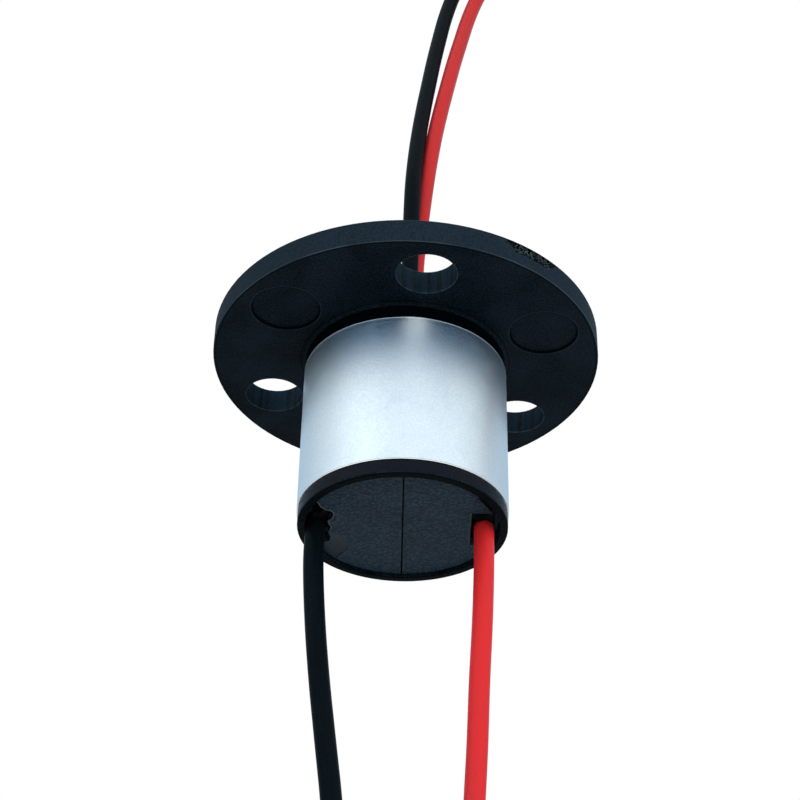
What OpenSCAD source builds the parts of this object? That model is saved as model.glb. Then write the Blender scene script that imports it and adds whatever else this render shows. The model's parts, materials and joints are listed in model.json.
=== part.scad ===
// Flanged capsule slip ring, two circuits, four flying leads.
// The rotor turns about Z. The origin is the centre of the flange's seating face:
// the barrel hangs below it and the rotor's nose stands above it.

/* [Flange] */
// Outer diameter of the flange
flange_d = 24; // [23.5:0.1:28]
// Thickness of the flange
flange_t = 1.6; // [1.4:0.1:2.4]
// Diameter of the circle through the mounting holes
hole_pcd = 18.2; // [17.8:0.1:19]
// Diameter of each mounting hole
hole_d = 3.6; // [2.4:0.1:4]
// Number of mounting holes
hole_count = 3; // [2:1:4]
// Direction of the first mounting hole, degrees from +X
hole_turn = -83; // [-180:1:180]
// Diameter of the sunk ejector marks between the holes
mark_d = 4.1; // [2:0.1:4.5]
// Depth of the sunk ejector marks
mark_depth = 0.15; // [0.05:0.05:0.4]
// Rounding of the flange's edges
edge_r = 0.06; // [0.05:0.01:0.3]
// Height of the rough gate scar on the rim
scar_h = 0.7; // [0.3:0.1:1]
// Depth of the gate scar
scar_depth = 0.12; // [0.05:0.01:0.3]

/* [Barrel] */
// Outer diameter of the barrel
barrel_d = 12.4; // [12:0.1:13.5]
// Length of the barrel below the flange
barrel_len = 12; // [12:0.1:16]
// Wall thickness of the barrel
barrel_wall = 0.45; // [0.35:0.05:0.6]
// Thickness of the lip that keeps the upper bearing in
lip_t = 0.4; // [0.3:0.05:0.6]
// Diameter of the opening in that lip
lip_d = 6.8; // [6.4:0.1:7.4]

/* [Label] */
// Width of the foil label, along the barrel
label_w = 10.05; // [6:0.05:10.4]
// Thickness of the foil label
label_t = 0.07; // [0.05:0.01:0.2]
// Distance from the flange to the label
label_gap = 1.03; // [0.2:0.01:1.4]

/* [Bearings] */
// Bore of each ball bearing
bearing_bore = 5; // [4.8:0.1:5.2]
// Radial height of each ball bearing, from its bore to its outside
bearing_section = 1.5; // [1.45:0.05:1.65]
// Width of each ball bearing
bearing_w = 2; // [1.6:0.1:2.2]
// Number of balls in a bearing
ball_count = 9; // [6:1:12]
// Diameter of a ball, as a share of the bearing's radial height
ball_share = 0.667; // [0.6:0.001:0.68]
// Height of the races' shoulders above the groove's floor, as a share of the ball's diameter
shoulder_share = 0.22; // [0.16:0.01:0.26]
// Running gap between a ball and its groove
ball_gap = 0.02; // [0.01:0.01:0.04]
// Running gap between the cage and the races
cage_gap = 0.08; // [0.05:0.01:0.12]

/* [Rotor] */
// Height of the nose above the flange
nose_len = 3; // [1.5:0.1:6]
// Diameter of the nose
nose_d = 4; // [3.6:0.1:4.6]
// Bore of the rotor shaft, for the leads
shaft_bore = 2.6; // [2.5:0.1:3.2]
// Thickness of a contact ring, as a share of the space between shaft and barrel
ring_share = 0.369; // [0.34:0.001:0.4]
// Width of a contact ring
ring_w = 1.5; // [1.3:0.1:1.7]
// Reach of an insulating barrier, as a share of the same space
barrier_share = 0.554; // [0.5:0.001:0.58]
// Width of an insulating barrier
barrier_w = 0.8; // [0.6:0.1:0.9]
// Thickness of the shaft's shoulder
shoulder_t = 0.5; // [0.3:0.1:0.7]
// Thickness of the retaining ring above the upper bearing
clip_t = 0.36; // [0.25:0.01:0.4]
// Outer diameter of the retaining ring
clip_d = 6.2; // [5.8:0.1:6.4]
// Depth of the epoxy plug at the nose's mouth
potting_t = 1.2; // [0.6:0.1:2]

/* [Brushes] */
// Diameter of a brush wire
brush_d = 0.3; // [0.2:0.02:0.34]
// Distance between the two brush wires of a ring
brush_pitch = 0.75; // [0.65:0.05:0.8]
// Length of a brush wire beyond its contact
brush_tip = 1; // [0.5:0.1:1.6]
// Depth of the V groove that a brush wire runs in
groove_depth = 0.28; // [0.22:0.01:0.32]
// Thickness of a brass terminal strip
terminal_t = 0.38; // [0.25:0.01:0.5]
// Width of a brass terminal strip
terminal_w = 1.3; // [0.8:0.1:1.6]

/* [End blocks] */
// Thickness of the end plate
end_t = 1; // [0.8:0.1:1.4]
// Depth of the end plate below the barrel's rim
end_recess = 0.22; // [0.1:0.02:0.5]
// Chamfer round the end plate
plate_chamfer = 0.12; // [0.05:0.01:0.2]
// Width of the split between the two halves
split_w = 0.1; // [0.04:0.02:0.2]
// Wall of the half shells that line the barrel
liner_wall = 0.5; // [0.35:0.05:0.6]
// Width of the lap behind the split
lap_w = 0.25; // [0.2:0.05:0.5]
// Width of the right block's lead notch
notch_w = 3.6; // [2.4:0.1:4.4]
// Distance from the axis to the right block's lead notch
notch_x = 4.02; // [3.7:0.01:4.15]
// Depth of both lead notches
notch_depth = 0.6; // [0.4:0.05:0.7]

/* [Leads] */
// Outer diameter of a stator lead
stator_lead_d = 1.2; // [1:0.05:1.25]
// Outer diameter of a rotor lead
rotor_lead_d = 1.1; // [0.9:0.05:1.12]
// Diameter of the bare conductor in a lead
conductor_d = 0.72; // [0.5:0.02:0.8]
// Length of insulation past the hank's last fold
tail_len = 5; // [3:0.5:8]
// Length of tinned conductor at a lead's end
tip_len = 5; // [3:0.5:8]
// Width of a hank's tie
tie_w = 2.2; // [1.6:0.1:3]
// Thickness of a hank's tie
tie_t = 0.6; // [0.4:0.1:1]

/* [Hidden] */

$fn = 96;
eps = 0.01;
fit_gap = 0.05;

// Housing
flange_r = flange_d / 2;
barrel_r = barrel_d / 2;
chamber_r = barrel_r - barrel_wall;
seat_r = bearing_bore / 2 + bearing_section;
root_r = 0.2;
barrel_z = -barrel_len;
scar_from = -61;
scar_to = -43.5;
scar_bites = 7;
scar_bite_w = 0.62;
scar_lip = 0.1;

// Bearings: each is placed by its lower face
pitch_r = (bearing_bore + bearing_section) / 2;
ball_d = ball_share * bearing_section;
ball_r = ball_d / 2;
race_shoulder = shoulder_share * ball_d;
groove_r = ball_r + ball_gap;
inner_race_r = pitch_r - groove_r + race_shoulder;
outer_race_r = pitch_r + groove_r - race_shoulder;
cage_in_r = inner_race_r + cage_gap;
cage_out_r = outer_race_r - cage_gap;
pocket_r = ball_r + 0.04;
upper_z = flange_t - lip_t - bearing_w;
end_z = barrel_z + end_recess;
plate_z = end_z + end_t;
ledge_t = 0.2;
lower_z = plate_z + ledge_t;

// Rotor, stacked upwards from the lower bearing
shaft_r = bearing_bore / 2;
winding_room = chamber_r - shaft_r;
ring_d = 2 * (shaft_r + ring_share * winding_room);
barrier_d = 2 * (shaft_r + barrier_share * winding_room);
shoulder_z = lower_z + bearing_w;
stack_z = shoulder_z + shoulder_t;
lower_ring_z = stack_z + barrier_w;
middle_z = lower_ring_z + ring_w;
upper_ring_z = middle_z + barrier_w;
top_z = upper_ring_z + ring_w;
spacer_z = top_z + barrier_w;
shaft_foot_z = lower_z - ledge_t / 4;
clip_z = upper_z + bearing_w;
clip_seat_r = shaft_r - 0.3;
nose_z = flange_t + nose_len;
nose_foot_z = flange_t + 0.2;
potting_z = nose_z - 0.2;
window_w = 0.95;
conductor_at = 0.4;

// Brushes: each wire is a tangent to its ring, from the terminal strip
wire_r = brush_d / 2;
wire_gap = 0.02;
groove_floor_r = ring_d / 2 - groove_depth;
wire_reach = groove_floor_r + (wire_r + wire_gap) * sqrt(2);
terminal_x = chamber_r - liner_wall - terminal_t / 2;
wire_angle = asin(wire_reach / terminal_x);
wire_len = terminal_x * cos(wire_angle) + brush_tip;
boss_x = barrier_d / 2 + 0.25;
boss_w = terminal_w + 0.7;
liner_r = chamber_r - fit_gap - liner_wall;
cup_z = shoulder_z - 0.1;
liner_z = upper_z - 0.4;
lower_contact_z = lower_ring_z + ring_w / 2;
upper_contact_z = upper_ring_z + ring_w / 2;

// The left block's notch is broken out, and a flake has come off beside it
left_notch = [
    [-7, -2.9], [-5, -2.75], [-4.9, -2.5], [-4.74, -2.05], [-4.46, -1.75], [-4.1, -1.6],
    [-4, -1.28], [-4.13, -0.72], [-4.38, -0.48], [-4.3, -0.14], [-4.2, 0.1], [-4.25, 0.55],
    [-4.42, 0.68], [-4.27, 1.45], [-4.35, 1.95], [-4.55, 2.1], [-7, 2.2]
];
flake_at = [-4.75, 2.3];
flake_w = 3.1;
flake_depth = 0.12;
flake_r = (pow(flake_w / 2, 2) + pow(flake_depth, 2)) / (2 * flake_depth);

// The right block is cut back between its notch and the barrel
right_relief = [
    [5.3, -1.4], [5, -2.1], [4.65, -2.7], [4.3, -3.3], [4.45, -3.75], [7, -3.75], [7, -1.4]
];
notch_y = 0.15;
lead_bore = stator_lead_d + 2 * fit_gap;

// Hanks: the fold's radius, the half width at the tie, the run's length and the whole turns
stator_fold_r = 3.6;
rotor_fold_r = 3.3;
waist_r = 1.6;
stator_run = 21;
rotor_run = 22;
stator_turns = 3;
rotor_turns = 2;
lane_gap = 0.05;
run_share = 0.33;
tie_slack = 0.12;
tie_head = [tie_w + 1.2, 2, tie_w + 0.9];
tie_stub = 1.2;
stator_hank_x = 0.3;
stator_hank_z = -37;
stator_hank_black_y = -0.35;
stator_hank_red_y = 0.95;
rotor_hank_x = 36.8;
rotor_hank_z = 38;
rotor_hank_black_y = 4.4;
rotor_hank_red_y = 5.6;

// Routes of the leads, from the object to the hank
stator_black_route = [
    [-5.1, 0.2, -10.8], [-5.15, 0.2, -14], [-4.9, 0.2, -17.8], [-4.5, 0.2, -21.6],
    [-4, 0.1, -25.4], [-3.5, 0, -29.2], [-3.2, -0.2, -33], [-3.3, -0.35, -37]
];
stator_red_route = [
    [4.8, 0.2, -10.8], [4.78, 0.2, -14], [4.65, 0.2, -17.8], [4.45, 0.2, -21.6],
    [4.3, 0.3, -25.4], [4.1, 0.5, -29.2], [3.95, 0.75, -33], [3.9, 0.95, -37]
];
rotor_black_route = [
    [0.17, -0.54, 4.4], [0.2, -0.52, 9], [0.29, -0.02, 15], [0.68, 1.23, 21], [1.33, 2.53, 27],
    [2.1, 3.85, 33], [3.2, 5, 39], [5.4, 5.8, 45], [9.4, 6.2, 50.6], [15.2, 6.2, 54.6],
    [22, 5.9, 55.2], [28.2, 5.5, 52], [32.4, 4.9, 47], [33.9, 4.5, 42], [33.5, 4.4, 38]
];
rotor_red_route = [
    [0.42, 0.57, 4.4], [0.6, 0.58, 9], [1.1, 0.82, 15], [1.76, 1.64, 21], [2.67, 2.75, 27],
    [3.7, 4.05, 33], [5.05, 5.2, 39], [7.4, 6, 44.4], [11, 6.4, 49.2], [16, 6.5, 52.3],
    [21.8, 6.4, 52.6], [27, 6.2, 49.8], [30.8, 5.9, 45.6], [32.8, 5.6, 41.8], [33.5, 5.6, 38]
];

function unit(v) = v / norm(v);

// Points of an arc about c, from angle a to angle b
function arc(c, r, a, b, n) =
    [for (i = [0:n]) c + r * [cos(a + (b - a) * i / n), sin(a + (b - a) * i / n)]];

// A point on the smooth curve from p1 to p2, with p0 before and p3 after them
function spline(p0, p1, p2, p3, t) =
    0.5 * (2 * p1 + (p2 - p0) * t + (2 * p0 - 5 * p1 + 4 * p2 - p3) * t * t
        + (3 * p1 - p0 - 3 * p2 + p3) * t * t * t);

// The route's own points, with steps - 1 more between each two
function smooth(p, steps) = let (last = len(p) - 1) concat(
    [for (i = [0:last - 1], k = [0:steps - 1])
        spline(p[max(i - 1, 0)], p[i], p[i + 1], p[min(i + 2, last)], k / steps)],
    [p[last]]);

// Half width of a hank's turn at height h above its middle
function run_x(h, r, waist, half) = waist + (r - waist) * (1 - cos(180 * h / half)) / 2;

// Depth that a lead's turns take up in its hank
function hank_depth(d, turns) = (d + lane_gap) * (turns + run_share) + d;

// A revolved solid from points of (radius, height)
module turned(points) {
    rotate_extrude() polygon(points);
}

module tube(r_out, r_in, h) {
    turned([[r_in, 0], [r_out, 0], [r_out, h], [r_in, h]]);
}

// A tube of 8 sides swept along a route that starts and ends upright
module swept(points, d) {
    sides = 8;
    last = len(points) - 1;
    upright = [0, 0, sign(points[1][2] - points[0][2])];
    leave = [0, 0, sign(points[last][2] - points[last - 1][2])];
    rings = [
        for (i = [0:last])
            let (
                t = i == 0 ? upright : i == last ? leave : unit(points[i + 1] - points[i - 1]),
                u = unit(cross([0, 1, 0], t)),
                v = cross(t, u)
            )
            for (k = [0:sides - 1])
                points[i] + d / 2 * (cos(360 * k / sides) * u + sin(360 * k / sides) * v)
    ];
    walls = [
        for (i = [0:last - 1], k = [0:sides - 1])
            let (a = i * sides + k, b = i * sides + (k + 1) % sides)
            each [[a, a + sides, b + sides], [a, b + sides, b]]
    ];
    caps = [
        [for (k = [0:sides - 1]) k],
        [for (k = [sides - 1:-1:0]) last * sides + k]
    ];
    polyhedron(rings, concat(walls, caps));
}

module housing_body() {
    e = edge_r;
    turned(concat(
        [[chamber_r, barrel_z], [barrel_r - e, barrel_z]],
        arc([barrel_r - e, barrel_z + e], e, -90, 0, 4),
        arc([barrel_r + root_r, -root_r], root_r, 180, 90, 4),
        arc([flange_r - e, e], e, -90, 0, 4),
        arc([flange_r - e, flange_t - e], e, 0, 90, 4),
        [
            [lip_d / 2, flange_t], [lip_d / 2, flange_t - lip_t],
            [seat_r, flange_t - lip_t], [seat_r, upper_z], [chamber_r, upper_z]
        ]
    ));
}

// Ragged pocket that the moulding gate left on the rim, just below its upper edge
module gate_scar() {
    for (i = [0:scar_bites - 1]) {
        bite_depth = scar_depth * (1 + i % 2) / 2;
        bite_h = scar_h * (i == 0 ? 1 : 3 + i % 2) / 4;
        rotate([0, 0, scar_from + (scar_to - scar_from) * (i + 0.5) / scar_bites])
            translate([flange_r - bite_depth, -scar_bite_w / 2, flange_t - scar_lip - bite_h])
                rotate([0, 0, 12 * (i % 3 - 1)])
                    cube([1, scar_bite_w, bite_h]);
    }
}

module housing() {
    color("#10151c")
        difference() {
            housing_body();
            for (i = [0:hole_count - 1]) {
                rotate([0, 0, hole_turn + 360 * i / hole_count])
                    translate([hole_pcd / 2, 0, -1])
                        cylinder(d = hole_d, h = flange_t + 2);
                rotate([0, 0, hole_turn + 360 * (i + 0.5) / hole_count])
                    translate([hole_pcd / 2, 0, -1])
                        cylinder(d = mark_d, h = 1 + mark_depth);
            }
            gate_scar();
        }
}

module label() {
    color("#b9c6d2")
        translate([0, 0, -label_gap - label_w])
            tube(barrel_r + label_t, barrel_r, label_w);
}

// Both halves of the end block before they are split
module block_blank() {
    r = chamber_r - fit_gap;
    difference() {
        turned([
            [0, end_z], [r - plate_chamfer, end_z], [r, end_z + plate_chamfer],
            [r, liner_z], [0, liner_z]
        ]);
        translate([0, 0, cup_z]) cylinder(r = liner_r, h = liner_z - cup_z + 1);
        translate([0, 0, lower_z]) cylinder(r = seat_r, h = bearing_w + 1);
        translate([0, 0, plate_z]) cylinder(r = outer_race_r, h = ledge_t + 1);
    }
}

// The boss that carries a terminal strip, on the +X side
module terminal_boss(contact_z) {
    top = contact_z + ring_w / 2;
    translate([boss_x, -boss_w / 2, cup_z - eps])
        cube([liner_r + liner_wall / 2 - boss_x, boss_w, top - cup_z]);
}

module terminal_strip(contact_z, slack) {
    translate([terminal_x - terminal_t / 2 - slack, -terminal_w / 2 - slack, plate_z - slack])
        cube([
            terminal_t + 2 * slack, terminal_w + 2 * slack,
            contact_z + brush_pitch - plate_z + slack
        ]);
}

// Two wires that leave the strip to either side, one above the other
module brush_pair(contact_z, slack) {
    for (side = [-1, 1])
        translate([terminal_x, 0, contact_z + side * brush_pitch / 2])
            rotate([0, 0, side * (180 - wire_angle)])
                rotate([0, 90, 0])
                    cylinder(r = wire_r + slack, h = wire_len, $fn = 32);
}

// One half of the end block, with its boss, drawn on the +X side
module brush_block(contact_z) {
    difference() {
        union() {
            intersection() {
                block_blank();
                translate([split_w / 2, -20, -50]) cube([40, 40, 100]);
            }
            terminal_boss(contact_z);
        }
        terminal_strip(contact_z, 0.02);
        brush_pair(contact_z, 0.02);
    }
}

// The inner half of the end plate laps over the split, from the left block
module lap(slack) {
    translate([-split_w, -20, end_z + end_t / 2 - slack])
        cube([split_w + lap_w + slack, 40, end_t / 2 + 2 * slack]);
}

module brush_block_right() {
    color("#1a2129")
        difference() {
            brush_block(upper_contact_z);
            lap(fit_gap);
            translate([notch_x, notch_y - notch_w / 2, end_z - 1])
                cube([10, notch_w, notch_depth + 1]);
            translate([0, 0, end_z - 1])
                linear_extrude(notch_depth + 1) polygon(right_relief);
            translate([stator_red_route[0][0], stator_red_route[0][1], end_z])
                cylinder(d = lead_bore, h = end_t + 1);
        }
}

module brush_block_left() {
    color("#1a2129")
        difference() {
            union() {
                mirror([1, 0, 0]) brush_block(lower_contact_z);
                intersection() {
                    block_blank();
                    lap(0);
                }
            }
            translate([0, 0, end_z - 1])
                linear_extrude(notch_depth + 1) polygon(left_notch);
            translate([flake_at[0], flake_at[1], end_z + flake_depth - flake_r])
                sphere(r = flake_r);
            translate([stator_black_route[0][0], stator_black_route[0][1], end_z]) {
                cylinder(d = lead_bore, h = end_t + 1);
                translate([-lead_bore, -lead_bore / 2, 0])
                    cube([lead_bore, lead_bore, end_t + 1]);
            }
        }
}

module terminal_right() {
    color("#c9a24a") terminal_strip(upper_contact_z, 0);
}

module terminal_left() {
    color("#c9a24a") mirror([1, 0, 0]) terminal_strip(lower_contact_z, 0);
}

module brush_wires_right() {
    color("#e3c36a") brush_pair(upper_contact_z, 0);
}

module brush_wires_left() {
    color("#e3c36a") mirror([1, 0, 0]) brush_pair(lower_contact_z, 0);
}

// Rings of one bearing, with its lower face at z
module outer_race(z) {
    color("#b4b8bd")
        translate([0, 0, z])
            difference() {
                tube(seat_r, outer_race_r, bearing_w);
                race_groove();
            }
}

module inner_race(z) {
    color("#b4b8bd")
        translate([0, 0, z])
            difference() {
                tube(inner_race_r, shaft_r, bearing_w);
                race_groove();
            }
}

module race_groove() {
    translate([0, 0, bearing_w / 2])
        rotate_extrude()
            translate([pitch_r, 0]) circle(r = groove_r, $fn = 48);
}

module ball_ring(r) {
    for (i = [0:ball_count - 1])
        rotate([0, 0, 360 * i / ball_count])
            translate([pitch_r, 0, bearing_w / 2])
                sphere(r = r, $fn = 32);
}

module balls(z) {
    color("#d9dde2") translate([0, 0, z]) ball_ring(ball_r);
}

// Crown cage: a plain ring above, with pockets that the balls snap into from below
module cage(z) {
    color("#c8b98c")
        translate([0, 0, z])
            difference() {
                translate([0, 0, bearing_w / 2 - 0.7 * ball_r])
                    tube(cage_out_r, cage_in_r, 0.7 * ball_r + pocket_r + 0.16);
                ball_ring(pocket_r);
            }
}

module rotor_shaft() {
    chamfer = 0.3;
    color("#20252c")
        difference() {
            turned([
                [0, shaft_foot_z], [shaft_r, shaft_foot_z],
                [shaft_r, shoulder_z], [inner_race_r, shoulder_z],
                [inner_race_r, stack_z], [shaft_r, stack_z],
                [shaft_r, clip_z], [clip_seat_r, clip_z],
                [clip_seat_r, clip_z + clip_t + 0.04], [shaft_r, clip_z + clip_t + 0.04],
                [shaft_r, nose_foot_z], [nose_d / 2, nose_foot_z],
                [nose_d / 2, nose_z - chamfer], [nose_d / 2 - chamfer, nose_z], [0, nose_z]
            ]);
            translate([0, 0, lower_ring_z])
                cylinder(d = shaft_bore, h = nose_z - lower_ring_z + 1);
            lead_window(upper_contact_z, 45);
            lead_window(lower_contact_z, 225);
        }
}

// Opening in the shaft's wall behind a contact ring
module lead_window(z, turn) {
    rotate([0, 0, turn])
        translate([0, -window_w / 2, z - window_w / 2])
            cube([shaft_r + 1, window_w, window_w]);
}

// Contact ring with a V groove for each brush wire
module contact_ring(z) {
    r = ring_d / 2;
    color("#e0b64f")
        translate([0, 0, z])
            turned(concat(
                [[shaft_r, 0], [r, 0]],
                [
                    for (side = [-1, 1], step = [-1, 0, 1])
                        [
                            r - (step == 0 ? groove_depth : 0),
                            ring_w / 2 + side * brush_pitch / 2 + step * groove_depth
                        ]
                ],
                [[r, ring_w], [shaft_r, ring_w]]
            ));
}

module barrier(z) {
    rim = 0.12;
    r = barrier_d / 2;
    color("#2b3037")
        translate([0, 0, z])
            turned([
                [shaft_r, 0], [r - rim, 0], [r, rim], [r, barrier_w - rim],
                [r - rim, barrier_w], [shaft_r, barrier_w]
            ]);
}

module rotor_spacer() {
    color("#9aa0a6")
        translate([0, 0, spacer_z])
            tube(inner_race_r, shaft_r, upper_z - spacer_z);
}

// Open ring that snaps into the shaft's groove
module retaining_ring() {
    color("#83878c")
        translate([0, 0, clip_z])
            difference() {
                tube(clip_d / 2, clip_seat_r, clip_t);
                translate([0, -0.9, -1]) cube([10, 1.8, clip_t + 2]);
            }
}

module rotor_potting() {
    color("#14171b")
        translate([0, 0, potting_z - potting_t])
            cylinder(d = shaft_bore, h = potting_t);
}

// A conductor that comes down the bore and turns out to its ring
module rotor_conductor(z, turn) {
    r = conductor_d / 2;
    out = conductor_at * sqrt(2);
    rotate([0, 0, turn])
        translate([out, 0, 0]) {
            translate([0, 0, z]) cylinder(r = r, h = potting_z - potting_t - z, $fn = 32);
            translate([0, 0, z]) sphere(r = r, $fn = 32);
            translate([0, 0, z])
                rotate([0, 90, 0]) cylinder(r = r, h = shaft_r - out - fit_gap, $fn = 32);
        }
}

module rotor_conductors() {
    color("#d8c7a0") {
        rotor_conductor(upper_contact_z, 45);
        rotor_conductor(lower_contact_z, 225);
    }
}

// Outline of a hank: two round ends and sides drawn in at the tie
function hank_outline(r, waist, run) = let (half = run / 2, n = 10) concat(
    arc([0, half], r, 0, 180, 16),
    [for (i = [n - 1:-1:1 - n]) [-run_x(half * i / n, r, waist, half), half * i / n]],
    arc([0, -half], r, 180, 360, 16),
    [for (i = [1 - n:n - 1]) [run_x(half * i / n, r, waist, half), half * i / n]]
);

// Closed form of one lead's hank. top_z is where its first run starts, and it fills
// from y towards +Y or -Y, as side says.
module hank(x, y, top_z, fold_r, run, turns, d, side) {
    depth = hank_depth(d, turns);
    near = side > 0 ? y - d / 2 : y + d / 2 - depth;
    translate([x, near + depth, top_z - run / 2])
        rotate([90, 0, 0])
            linear_extrude(depth)
                polygon(hank_outline(fold_r + d / 2, waist_r + d / 2, run));
}

// Last of the insulation and the tinned conductor of one lead
module lead_end(x, y, z, d) {
    translate([x, y, z - tail_len]) cylinder(d = d, h = tail_len + 1, $fn = 32);
    translate([x, y, z - tail_len - tip_len])
        cylinder(d = conductor_d, h = tip_len + 1, $fn = 32);
}

// Nylon tie round a pair of hanks: band, head and the stub of its tail
module hank_tie(x, y_low, y_high, z, d) {
    w = 2 * (waist_r + d / 2 + tie_slack);
    l = y_high - y_low + 2 * fit_gap;
    front_y = -(l + tie_head[1]) / 2;
    translate([x, (y_low + y_high) / 2, z]) {
        translate([0, 0, -tie_w / 2])
            linear_extrude(tie_w)
                difference() {
                    for (i = [-1, 1], j = [-1, 1])
                        translate([i * w / 2, j * l / 2]) circle(r = tie_t, $fn = 24);
                    square([w, l], center = true);
                }
        for (side = [-1, 1]) {
            translate([side * (w + tie_t) / 2, 0, 0]) cube([tie_t, l + eps, tie_w], center = true);
            translate([0, side * (l + tie_t) / 2, 0]) cube([w + eps, tie_t, tie_w], center = true);
        }
        translate([0, front_y, 0]) cube(tie_head, center = true);
        translate([0, front_y, 0])
            cube([tie_head[0] + 2 * tie_stub, tie_t, tie_w], center = true);
    }
}

module stator_lead(points) {
    swept(points, stator_lead_d);
}

module rotor_lead(points) {
    swept(smooth(points, 2), rotor_lead_d);
}

module stator_lead_black() {
    color("#0b0e13") stator_lead(stator_black_route);
}

module stator_lead_red() {
    color("#d5261f") stator_lead(stator_red_route);
}

module rotor_lead_black() {
    color("#0b0e13") rotor_lead(rotor_black_route);
}

module rotor_lead_red() {
    color("#d5261f") rotor_lead(rotor_red_route);
}

module stator_hank(y, side) {
    hank(stator_hank_x, y, stator_hank_z, stator_fold_r, stator_run, stator_turns,
        stator_lead_d, side);
}

module rotor_hank(y, side) {
    hank(rotor_hank_x, y, rotor_hank_z, rotor_fold_r, rotor_run, rotor_turns,
        rotor_lead_d, side);
}

module stator_hank_black() {
    color("#0b0e13") stator_hank(stator_hank_black_y, -1);
}

module stator_hank_red() {
    color("#d5261f") stator_hank(stator_hank_red_y, 1);
}

module rotor_hank_black() {
    color("#0b0e13") rotor_hank(rotor_hank_black_y, -1);
}

module rotor_hank_red() {
    color("#d5261f") rotor_hank(rotor_hank_red_y, 1);
}

module stator_hank_tie() {
    deep = hank_depth(stator_lead_d, stator_turns) - stator_lead_d / 2;
    color("#e8e6df")
        hank_tie(stator_hank_x, stator_hank_black_y - deep, stator_hank_red_y + deep,
            stator_hank_z - stator_run / 2, stator_lead_d);
}

module rotor_hank_tie() {
    deep = hank_depth(rotor_lead_d, rotor_turns) - rotor_lead_d / 2;
    color("#e8e6df")
        hank_tie(rotor_hank_x, rotor_hank_black_y - deep, rotor_hank_red_y + deep,
            rotor_hank_z - rotor_run / 2, rotor_lead_d);
}

module stator_lead_ends() {
    last = (stator_lead_d + lane_gap) * (stator_turns + run_share);
    z = stator_hank_z - stator_run;
    color("#c8ccd0") {
        lead_end(stator_hank_x - stator_fold_r, stator_hank_black_y - last, z, stator_lead_d);
        lead_end(stator_hank_x + stator_fold_r, stator_hank_red_y + last, z, stator_lead_d);
    }
}

module rotor_lead_ends() {
    last = (rotor_lead_d + lane_gap) * (rotor_turns + run_share);
    z = rotor_hank_z - rotor_run;
    x = rotor_hank_x - rotor_fold_r;
    color("#c8ccd0") {
        lead_end(x, rotor_hank_black_y - last, z, rotor_lead_d);
        lead_end(x, rotor_hank_red_y + last, z, rotor_lead_d);
    }
}

housing();
label();
brush_block_left();
brush_block_right();
terminal_left();
terminal_right();
brush_wires_left();
brush_wires_right();
outer_race(upper_z);  // upper_outer_race
outer_race(lower_z);  // lower_outer_race
cage(upper_z);  // upper_cage
balls(upper_z);  // upper_balls
cage(lower_z);  // lower_cage
balls(lower_z);  // lower_balls
inner_race(upper_z);  // upper_inner_race
inner_race(lower_z);  // lower_inner_race
rotor_shaft();
contact_ring(upper_ring_z);  // ring_upper
contact_ring(lower_ring_z);  // ring_lower
barrier(top_z);  // barrier_top
barrier(middle_z);  // barrier_middle
barrier(stack_z);  // barrier_bottom
rotor_spacer();
retaining_ring();
rotor_potting();
rotor_conductors();
stator_lead_black();
stator_hank_black();
stator_lead_red();
stator_hank_red();
stator_hank_tie();
stator_lead_ends();
rotor_lead_black();
rotor_hank_black();
rotor_lead_red();
rotor_hank_red();
rotor_hank_tie();
rotor_lead_ends();
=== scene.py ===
"""Looks of a small flanged slip ring with four flying leads."""
import json
import math

import bmesh
import bpy
from mathutils import Matrix, Vector


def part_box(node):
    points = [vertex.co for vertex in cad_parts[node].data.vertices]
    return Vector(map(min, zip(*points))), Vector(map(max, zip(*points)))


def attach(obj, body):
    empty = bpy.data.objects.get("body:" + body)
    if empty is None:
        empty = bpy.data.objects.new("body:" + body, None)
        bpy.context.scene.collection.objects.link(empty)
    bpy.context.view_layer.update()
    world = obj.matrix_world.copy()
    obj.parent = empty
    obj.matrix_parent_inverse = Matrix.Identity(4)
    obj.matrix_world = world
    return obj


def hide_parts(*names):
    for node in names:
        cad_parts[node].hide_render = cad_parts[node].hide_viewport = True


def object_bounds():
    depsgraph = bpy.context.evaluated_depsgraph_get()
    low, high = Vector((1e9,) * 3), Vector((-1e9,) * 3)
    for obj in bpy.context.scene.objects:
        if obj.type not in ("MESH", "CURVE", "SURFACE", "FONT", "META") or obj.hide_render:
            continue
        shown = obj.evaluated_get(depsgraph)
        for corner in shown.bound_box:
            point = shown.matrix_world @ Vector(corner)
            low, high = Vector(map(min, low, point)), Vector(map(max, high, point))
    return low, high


MM = 0.001
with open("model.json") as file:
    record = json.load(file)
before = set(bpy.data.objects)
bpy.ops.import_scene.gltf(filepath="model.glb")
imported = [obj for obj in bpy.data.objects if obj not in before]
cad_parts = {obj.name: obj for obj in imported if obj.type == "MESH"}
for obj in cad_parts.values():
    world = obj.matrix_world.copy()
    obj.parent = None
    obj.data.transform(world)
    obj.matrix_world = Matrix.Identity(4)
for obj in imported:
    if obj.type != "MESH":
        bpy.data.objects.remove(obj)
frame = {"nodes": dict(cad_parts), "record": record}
solid_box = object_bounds()
scene = bpy.context.scene

# Sizes that the frame gives, in metres
mount_dims = {mount["name"]: mount["dims"] for mount in frame["record"]["mounts"]}
FLANGE_R, FLANGE_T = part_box("housing")[1].x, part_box("housing")[1].z
BARREL_R, BARREL_END = mount_dims["barrel_pilot"]["r_mm"] * MM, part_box("housing")[0].z
PLATE_R, PLATE_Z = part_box("brush_block_right")[1].x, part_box("brush_block_right")[0].z
LABEL_TOP, LABEL_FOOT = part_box("label")[1].z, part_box("label")[0].z


# ---------------------------------------------------------------- node trees

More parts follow.
